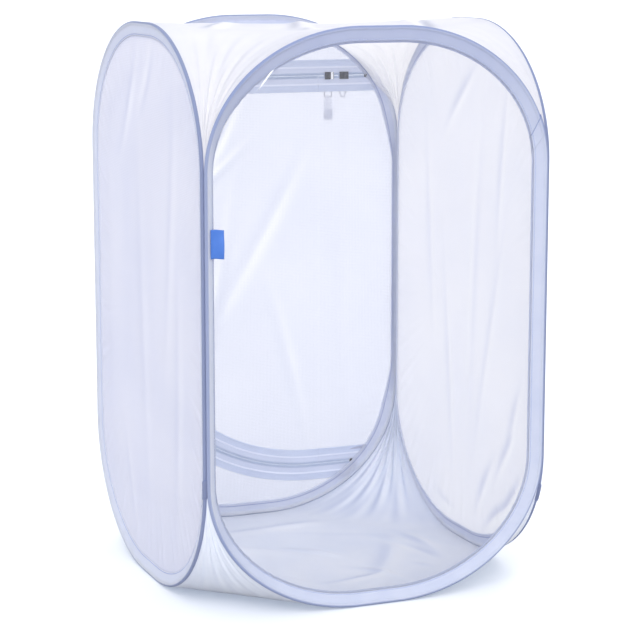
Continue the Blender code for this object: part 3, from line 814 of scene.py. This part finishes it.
def makeCap(level, material):
    up = 1 if level == "top" else -1
    edge = cap["edge"]
    halfWidth, reach, drop = cage["halfWidth"], cage["cornerReach"], cage["cornerDrop"]
    rise = cage["bulbRadius"] - cage["seatGap"]
    angle = np.linspace(0, math.pi / 2, cap["tongueRows"])[:, None]
    inward = reach * (1 - np.cos(angle))
    height = cage["halfHeight"] - drop + drop * np.sin(angle) + rise
    share = np.linspace(0, 1, cap["tongueColumns"])[None, :]
    points, uvs, faces, rims, foldShades = [], [], [], [], []
    count = 0
    dip, hollowShare, cornerPaintedShade = (cap[key][level] for key in ("rearDip", "hollow", "cornerPaintedShade"))
    for side, deep in ((1, 1), (-1, 1), (-1, -1), (1, -1)):
        first = paired(side * (halfWidth - inward), deep * edge)
        second = paired(side * edge, deep * (halfWidth - inward))
        if side == deep:
            first, second = second, first
        flat = first + (second - first) * share[..., None]
        z = height + 0 * share
        # Between the hoops the cloth is drawn in a little, most halfway down the tongue.
        middle = 4 * share * (1 - share)
        hollow = hollowShare * middle * np.sin(2 * angle) * np.sin(angle)
        diagonal = np.array([side, deep]) / math.sqrt(2)
        gather = cap["gathers"].get((level, side, deep), 0.0009)
        turns = (2 * math.pi * share * 6 + 3 * angle, 2 * math.pi * share * 10.3 - 4 * angle + 1)
        fading = np.cos(angle) * np.sin(angle) ** 0.5 * middle * np.minimum(1, 14 * inward / reach)
        folds = gather * (np.sin(turns[0]) + 0.6 * np.sin(turns[1])) * fading
        # Painted shade and highlight on the gathers' sides.
        gatherShade = 70 * gather * (0.7 * np.cos(turns[0]) + 0.5 * np.cos(turns[1])) * fading
        # Painted shade on the bottom cloth's corner tongues, fading out where they meet the flat floor cloth.
        shaded = cornerPaintedShade[deep > 0] * smoothStep(math.pi / 2 - angle, 0, 0.35)
        foldShades.append((0.5 - shaded + gatherShade).clip(0, 1).ravel())
        flat = flat - (hollow + folds)[..., None] * diagonal
        # Next to the rear hoop it comes down to the binding's inner edge, along the hoop's own normal.
        fromRear = 1 - share if side == deep else share
        near = (deep > 0) * dip * (1 - smoothStep(fromRear, 0, cap["dipReach"])) * smoothStep(inward, 0, 0.02)
        flat = flat - paired(side * near * np.cos(angle), 0 * near)
        z = z - near * np.sin(angle) - cap["cornerSag"][level][deep > 0] * middle * np.sin(angle) ** 3
        points.append(np.concatenate([flat, (up * z)[..., None]], 2).reshape(-1, 3))
        walkedUp = drop * angle + 0 * share
        uvs.append(paired((share - 0.5) * math.sqrt(2) * inward, walkedUp).reshape(-1, 2))
        faces.append(gridFaces(*z.shape) + count)
        rims.append(points[-1].reshape(*z.shape, 3)[-1])
        count += z.size
    # The rim runs along the four tongues' upper rows, and straight from each to the next.
    between = np.linspace(0, 1, 10)[1:-1, None]
    nextRims = rims[1:] + rims[:1]
    rim = [part for line, after in zip(rims, nextRims) for part in (line, line[-1] + (after[0] - line[-1]) * between)]
    rim = np.concatenate(rim)
    shrink = np.linspace(1, 0, 46)[:, None]
    x, y = rim[:, 0] * shrink, rim[:, 1] * shrink
    calm = 1 - smoothStep(shrink, 0.8, 1)
    flatHeight = up * np.abs(rim[:, 2]).max()
    z = flatHeight + (rim[:, 2] - flatHeight) * shrink**1.2
    z = z - up * cap["sag"][level] * (1 - shrink**2) + calm * foldField(x, y, capFolds[level])
    if level == "bottom":
        z = np.maximum(z, flatHeight)
    points.append(paired(x, y, z).reshape(-1, 3))
    uvs.append(paired(x, y).reshape(-1, 2))
    # Painted shade and highlight on the flat part's folds.
    foldShades.append((0.5 + calm * (paintedFoldShade(x, y, capFolds[level], -1, 0.8) - 0.5)).ravel())
    faces.append(gridFaces(*z.shape, True) + count)
    place = np.concatenate(points) + np.array([0, cage["middleY"], cage["middleZ"]])
    made = meshObject(f"{level}_cloth", place, np.concatenate(faces), np.concatenate(uvs), np.concatenate(foldShades))
    finishMesh(made, sharp=60, weld=0.00001)
    measured = bmesh.new()
    measured.from_mesh(made.data)
    area = sum(face.calc_area() for face in measured.faces)
    measured.free()
    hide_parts(f"{level}_panel")
    dress(made, material, "front_frame")
    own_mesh(made)
    area = min(area, cap["sheetArea"])
    return made


# The blank ribbon sewn in beside the front binding: a folded loop, a little proud at its free edge.
tag = {"width": 0.0135, "height": 0.0290, "low": -0.1825, "middle": 0.0885, "thickness": 0.00035}


def makeTag(material):
    along = np.linspace(0, 1, 14)[None, :]
    up = np.linspace(-0.5, 0.5, 24)[:, None]
    u = tag["low"] + tag["width"] * along + 0 * up
    v = tag["middle"] + tag["height"] * up + 0.0004 * np.sin(5 * along)
    depth = -0.0022 + 0.0022 * along**2 + 0.0006 * np.sin(6 * up + 2) * along
    made = gridObject("side_ribbon_tag", onWall("front", u, v, depth), paired(u, v))
    thicken(made, tag["thickness"])
    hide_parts("side_tag")
    dress(made, material, "front_frame")
    return made


# Polyester bias tape, plain woven: matt with a low sheen, a faint cross weave, and darker at its edge over the wire.
# Painted shade darkens it towards the top and lines its sunk stitch and lapped end; painted light pales the left side.
def bindingTapeMaterial(name, shadeHex, paleHex, topPaintedShade, share):
    made, add, shader, surface, where = newMaterial(name)
    along, inward = (add("SeparateXYZ", (surface,), axis) for axis in "XY")
    sideways, height = (add("SeparateXYZ", (where,), axis) for axis in "XZ")
    wire = add("MapRange", (inward, -0.0013, 0.0003, 1, 0))
    stitchGrooveShade = add("Math", (inward, 0.0115, 0.0005), operation="COMPARE")
    lapEnd = hoop["length"] + binding["lapLength"]
    base = coated(
        add,
        shadeHex,
        (add("TexNoise", {"Vector": where, "Scale": 38, "Detail": 3}), paleHex),
        # Painted shade: darker towards the cage's top.
        (add("MapRange", (height, 0.44, 0.58, 0, topPaintedShade)), "98A4D0"),
        # Painted light: paler along the cage's left side.
        (add("MapRange", (sideways, -0.186, -0.176, 0.6, 0)), "F2F5FD"),
        (add("Math", (wire, 0.8), operation="MULTIPLY"), "8493C0"),
        # Painted shade in the sunk stitch line.
        (add("MapRange", (stitchGrooveShade, 0, 1, 0, 0.75)), "A9B4DA"),
        # Painted shade along the lapped end's edge.
        (add("Math", (along, lapEnd, 0.0008), operation="COMPARE"), "94A2CC"),
    )
    # Real threads are 0.25 mm apart; they are drawn at 0.9 mm so that the weave shows.
    weave = threadGrid(add, surface, 0.0009, 0.0004, 0.00012)
    bump = add("Bump", {"Height": weave, "Strength": 0.25, "Distance": 0.0002})
    setShader(shader, Base_Color=base, Roughness=0.62, Normal=bump, Sheen_Weight=0.25, Sheen_Roughness=0.4)
    letThrough(add, shader, base, bump, share)
    return made


# Polyester netting, warp knitted: pale threads round small holes, so it is milky at a slant and clear face on.
def nettingMaterial(name, threadHex, shadeHex, foldShadeHex, threadCover, holeCover):
    made, add, shader, surface, where = newMaterial(name)
    # Real holes are about 0.8 mm apart; they are drawn at 1.8 mm so that they show.
    threads = threadGrid(add, surface, 0.0018, 0.0007, 0.0002)
    cloud = add("TexNoise", {"Vector": where, "Scale": 9, "Detail": 4})
    base = coated(add, shadeHex, (add("MapRange", (cloud, 0.3, 0.7, 0, 1)), threadHex))
    # Painted shade and highlight on the folds, from the sheet's own attribute.
    base = tintByFoldShade(add, base, foldShadeHex, "FBFCFE")
    cover = add("MapRange", (threads, 0, 1, holeCover, threadCover))
    bump = add("Bump", {"Height": threads, "Strength": 0.2, "Distance": 0.0002})
    setShader(shader, Base_Color=base, Roughness=0.7, Normal=bump)
    letThrough(add, shader, base, bump, 0.45, cover)
    return made


# Calendered polyester taffeta: close plain weave, a silky low gloss, and lets some light through.
def clothMaterial(name, paleHex, shadeHex, foldShadeHex, roughness, share):
    made, add, shader, _, where = newMaterial(name)
    cloud = add("TexNoise", {"Vector": where, "Scale": 7, "Detail": 5, "Roughness": 0.6})
    base = coated(add, shadeHex, (add("MapRange", (cloud, 0.32, 0.68, 0, 1)), paleHex))
    # Painted shade and highlight on the folds, from the sheet's own attribute.
    base = tintByFoldShade(add, base, foldShadeHex, "FFFFFF")
    # Real threads are 0.2 mm apart; they are drawn at 1.2 mm so that the weave shows.
    weave = threadGrid(add, where, 0.0012, 0.0005, 0.00015)
    creases = add("TexNoise", {"Vector": where, "Scale": 26, "Detail": 2, "Distortion": 1.2})
    height = add("Math", (weave, 0.12, creases), operation="MULTIPLY_ADD")
    bump = add("Bump", {"Height": height, "Strength": 0.35, "Distance": 0.0012})
    setShader(shader, Base_Color=base, Roughness=roughness, Normal=bump)
    letThrough(add, shader, base, bump, share)
    return made


# Clear soft vinyl: nearly all light goes through, a glossy skin reflects the lamps, and a painted glare whitens it
# along two creases.
def vinylMaterial():
    made, add, shader, surface, _ = newMaterial("clear_soft_vinyl")
    # Painted glare: whiter, less clear streaks along the two creases.
    paintedGlare = []
    for (u, v, angle, length, width, *_), most in zip(film["creases"], (0.9, 0.35)):
        u, v, length, width = (value / 1000 for value in (u, v, length, width))
        place = {"Location": (u, v, 0), "Rotation": (0, 0, math.radians(angle)), "Scale": (length, width, 1)}
        mapping = add("Mapping", {"Vector": surface, **place}, vector_type="TEXTURE")
        away = add("VectorMath", (mapping,), "Value", operation="LENGTH")
        paintedGlare.append(add("MapRange", (away, 0.5, 1.1, most, 0)))
    glareStreak = add("Math", paintedGlare, operation="MAXIMUM")
    haze = add("TexNoise", {"Vector": surface, "Scale": 12, "Detail": 3})
    milky = add("MapRange", (haze, 0.35, 0.75, 0.015, 0.05))
    share = add("Math", (add("Fresnel", {"IOR": 1.5}), milky), operation="ADD")
    share = add("Math", (share, glareStreak), operation="MAXIMUM")
    bump = add("Bump", {"Height": haze, "Strength": 0.2, "Distance": 0.002})
    setShader(shader, Base_Color="F7F9FD", Roughness=0.09, Normal=bump)
    showSurface(add("MixShader", (share, add("BsdfTransparent"), shader.outputs[0])))
    return made


# A plain material: two colours mottled by a noise, which also sets its roughness where that is a range. Its bump, where
# a strength is given, is a weave's or the noise's own.
def mottledMaterial(name, firstHex, secondHex, scale, roughness, detail=2, bump=None, weave=None, **settings):
    made, add, shader, surface, where = newMaterial(name)
    cloud = add("TexNoise", {"Vector": where, "Scale": scale, "Detail": detail})
    base = coated(add, firstHex, (cloud, secondHex))
    if isinstance(roughness, tuple):
        roughness = add("MapRange", (cloud, *roughness))
    if bump is not None:
        height, distance = (threadGrid(add, surface, *weave), 0.0002) if weave else (cloud, 0.0003)
        settings["Normal"] = add("Bump", {"Height": height, "Strength": bump, "Distance": distance})
    setShader(shader, Base_Color=base, Roughness=roughness, **settings)
    return made, add, shader, where


# Nickel-plated zinc, die cast: bright, with soft casting waves, and a painted highlight where the two sliders meet.
def nickelMaterial():
    name, rough = "nickel_plated_zinc", (0.2, 0.8, 0.22, 0.4)
    made, add, shader, where = mottledMaterial(name, "24262C", "6E7078", 320, rough, bump=0.15, Metallic=1.0)
    across = add("SeparateXYZ", (where,), "X")
    # A painted highlight on the left slider's inner end.
    paintedGlint = add("Math", (across, 0.1034, 0.0016), operation="COMPARE")
    mottled = shader.inputs["Base Color"].links[0].from_socket
    setShader(shader, Base_Color=coated(add, mottled, (paintedGlint, "FAFBFC")))
    return made


# Woven polyester zip tape with the mesh's hem sewn over it: ribbed along its length, with a painted highlight along the
# hem's fold.
def zipTapeMaterial():
    made, add, shader, surface, where = newMaterial("woven_zip_tape")
    away = add("Math", (add("SeparateXYZ", (surface,), "Y"),), operation="ABSOLUTE")
    cloud = add("TexNoise", {"Vector": where, "Scale": 26, "Detail": 4})
    hem = coated(add, "BEC8E2", (cloud, "CED6EA"))
    onHem = add("MapRange", (away, 0.0095, 0.0099, 0, 1))
    foldHighlight = add("Math", (away, 0.0100, 0.0010), operation="COMPARE")
    base = coated(add, "C5CDE5", (cloud, "D5DBEC"), (onHem, hem), (foldHighlight, "E4E9F9"))
    # Real ribs are 0.4 mm apart; they are drawn at 1 mm so that they show.
    ribs = threadGrid(add, surface, 0.0010, 0.0004, 0.0002)
    bump = add("Bump", {"Height": ribs, "Strength": 0.3, "Distance": 0.0002})
    setShader(shader, Base_Color=base, Roughness=0.7, Normal=bump)
    return made


# Translucent soft plastic, moulded: its lower half is greyer and less clear.
def tabMaterial():
    made, add, shader, _, where = newMaterial("translucent_moulded_pvc")
    lowerHalf = add("MapRange", (add("SeparateXYZ", (where,), "Z"), 0.4860, 0.4876, 1, 0))
    base = coated(add, "FAFBFD", (lowerHalf, "E2E6EC"))
    grain = add("TexNoise", {"Vector": where, "Scale": 700})
    bump = add("Bump", {"Height": grain, "Strength": 0.1, "Distance": 0.0003})
    clearness = add("MapRange", (lowerHalf, 0, 1, 0.35, 0.6))
    setShader(shader, Base_Color=base, Alpha=clearness, Roughness=0.3, Normal=bump)
    return made


# One tape in lit and shaded copies: the front hoop's is painted darker, and the other hoops' is painted paler and lets
# more light through, for the dim inside.
frontTape = bindingTapeMaterial("polyester_bias_tape", "C9D1E9", "DBE0F0", 0.40, 0.35)
litTapeCopy = bindingTapeMaterial("polyester_bias_tape_pale", "E9EDF9", "F5F7FD", 0.10, 0.6)
# Polyester sewing thread: slightly glossier and paler than the tape.
sewingThread = mottledMaterial("polyester_thread", "AEBAE0", "DDE4F8", 900, 0.45)[0]
# One netting in lit and shaded copies: the right wall's, seen from inside the cage, is painted paler than the left's.
sideNetting = {
    "left": nettingMaterial("polyester_netting_left", "E3E4F0", "DEE0EF", "BCC2DE", 0.97, 0.90),
    "right": nettingMaterial("polyester_netting_right", "F1F1F7", "EBECF5", "C2C7DF", 0.97, 0.90),
}
rearNetting = nettingMaterial("polyester_netting_rear", "CDCFE1", "C6C9DD", "B2B8D3", 0.74, 0.58)
topTaffeta = clothMaterial("polyester_taffeta_top", "F4F3F4", "EBEAEE", "B6BACB", 0.62, 0.58)
floorTaffeta = clothMaterial("polyester_taffeta_floor", "F4F7FD", "E6ECF8", "A6B4D9", 0.42, 0.08)
clearVinyl = vinylMaterial()
# Tempered spring steel wire, drawn: grey, with a fine uneven shine.
steelRough = (0, 1, 0.25, 0.45)
springSteel = mottledMaterial("tempered_spring_steel", "8A8F98", "B4B8BE", 220, steelRough, 3, Metallic=1.0)[0]
nickel = nickelMaterial()
# Bare wire of the rings: dull and darker than the plated sliders.
ringWire = mottledMaterial("oxidised_steel_wire", "14161B", "34373E", 500, 0.5, Metallic=0.6)[0]
# Nylon monofilament of the coil: pale, a little waxy.
nylon = mottledMaterial("nylon_monofilament", "A5B6D6", "BDCCE4", 60, 0.35)[0]
zipTape = zipTapeMaterial()
tabPlastic = tabMaterial()
# Woven satin ribbon: blue, with a soft gloss. Real threads are 0.15 mm apart; they are drawn at 0.8 mm so they show.
satinWeave = (0.0008, 0.0003, 0.0001)
ribbon = mottledMaterial("woven_satin_ribbon", "2F61B6", "4274C8", 90, 0.42, 3, bump=0.3, weave=satinWeave)[0]
print("materials made")

for wall in walls:
    tape = makeBinding(wall, frontTape if wall == "front" else litTapeCopy)
    stitches = makeBindingStitches(wall, sewingThread)
print("bindings sewn")

makeTag(ribbon)
makeFilm(clearVinyl)
for wall in ("left", "right"):
    makeMeshPanel(wall, sideNetting[wall])
print("window and side walls held")

surround = makeRearSurround(rearNetting)
strip = makeRearStrip(rearNetting)
door = makeDoorMesh(rearNetting)
stops = [zipLine[level + "BandEnd"] for level in inwardOf]
outerBand = makeBand("zip_band_surround", 1, *stops, zipTape, "rear_wall")
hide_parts("zip_tape_surround")
bandStop, coilStop = cage["foldX"] - 0.0001, cage["foldX"] - 0.0004
doorBand = makeBand("door_zip_band", -1, bandStop, bandStop, zipTape, "door_flap")
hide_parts("door_zip_tape")
bandEnds = [makeBandEnd(level, zipTape) for level in inwardOf]
offset, stops = zipLine["coilOffset"], [zipLine[level + "CoilEnd"] for level in inwardOf]
outerCoil = makeCoil("zip_spiral_surround", offset, *stops, nylon, "rear_wall")
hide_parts("zip_coil_surround")
doorCoil = makeCoil("door_zip_spiral", -offset, coilStop, coilStop, nylon, "door_flap")
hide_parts("door_zip_coil")
coilEnds = [makeCoilEnd(level, nylon) for level in inwardOf]
print("rear wall and zip made")

makeCap("top", topTaffeta)
makeCap("bottom", floorTaffeta)
print("top and bottom cloth hung")

# Finishes for the solids that are kept as packed.
keptFinishes = {
    springSteel: [f"{wall}_wire_{part}" for wall in walls for part in ("hoop", "ferrule")],
    nickel: ["zip_stop_top", "zip_stop_bottom", "slider_left", "slider_right"],
    ringWire: ["pull_ring_left", "pull_ring_right"],
    tabPlastic: ["pull_tab"],
}
for material, names in keptFinishes.items():
    for name in names:
        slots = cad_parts[name].data.materials
        if len(slots) == 0:
            slots.append(material)
        for i in range(len(slots)):
            slots[i] = material

# The photographer's view: from the left and above, with a long lens. Its angles are in degrees, and its lens in pixels.
view = {
    "place": (-0.8535, -2.1139, 0.6742),
    "turn": 22.248,
    "down": 10.05,
    "pixels": 2089.85,
    "frame": 640,
    "sensor": 36,
}
camera = bpy.data.objects.new("camera", bpy.data.cameras.new("camera"))
bpy.context.scene.collection.objects.link(camera)
camera.location = view["place"]
camera.rotation_euler = (math.radians(90 - view["down"]), 0, -math.radians(view["turn"]))
camera.data.sensor_width = view["sensor"]
camera.data.lens = view["pixels"] * view["sensor"] / view["frame"]
camera.data.clip_end = 90
bpy.context.scene.camera = camera

# Soft far lamps, which light the floor evenly: where each shines from, its spread in degrees, strength and colour.
lamps = {
    "key": ((-0.45, -0.75, 0.95), 30, 0.85, (1.0, 0.985, 0.96)),
    "fill": ((-0.35, -1.0, 0.16), 45, 0.95, (1.0, 0.99, 0.98)),
    "back": ((0.60, 0.70, 0.95), 35, 0.7, (0.98, 0.99, 1.0)),
}
for name, (place, spread, strength, colour) in lamps.items():
    lamp = bpy.data.lights.new(name, "SUN")
    lamp.angle = math.radians(spread)
    lamp.energy = strength
    lamp.color = colour
    made = bpy.data.objects.new(name, lamp)
    bpy.context.scene.collection.objects.link(made)
    made.rotation_euler = Vector(place).to_track_quat("Z", "Y").to_euler()

# The world lights softly from all round, and shows plain white to the camera, in gloss and through clear pieces.
world = bpy.data.worlds.new("studio")
bpy.context.scene.world = world
world.use_nodes = True
add = functools.partial(addNode, world.node_tree)
rays = [add("LightPath", out=f"Is {kind} Ray") for kind in ("Camera", "Glossy", "Transmission")]
seen = add("Math", rays[:2], operation="MAXIMUM")
seen = add("Math", (seen, rays[2]), operation="MAXIMUM")
upward = add("SeparateXYZ", (add("TexCoord", out="Generated"),), "Z")
strength = add("MapRange", (upward, 0, 1, 1.18, 1.36))
soft = add("Background", ((0.955, 0.975, 1.0, 1), strength))
white = add("Background", ((1, 1, 1, 1), 1.0))
giveInput(world.node_tree.nodes["World Output"].inputs["Surface"], add("MixShader", (seen, soft, white)))

# A pale floor that keeps the cage's shadow: it shows a little brighter to the camera than its own colour.
reach = 40
floorPoints = np.array([[-reach, -reach, 0], [reach, -reach, 0], [reach, reach, 0], [-reach, reach, 0]])
floor = meshObject("studio_floor", floorPoints - np.array([0, 0, 0.0002]), np.array([[0, 1, 2, 3]]))
paper, add, shader, _, _ = newMaterial("white_paper_sweep")
setShader(shader, Base_Color=(0.60, 0.585, 0.56, 1), Roughness=0.9)
toCamera = add("LightPath", out="Is Camera Ray")
glow = add("Emission", ((0.25, 0.30, 0.40, 1), toCamera))
showSurface(add("AddShader", (shader.outputs[0], glow)))
floor.data.materials.append(paper)

bpy.context.scene.view_settings.view_transform = "Standard"
print("camera, lamps and floor set")
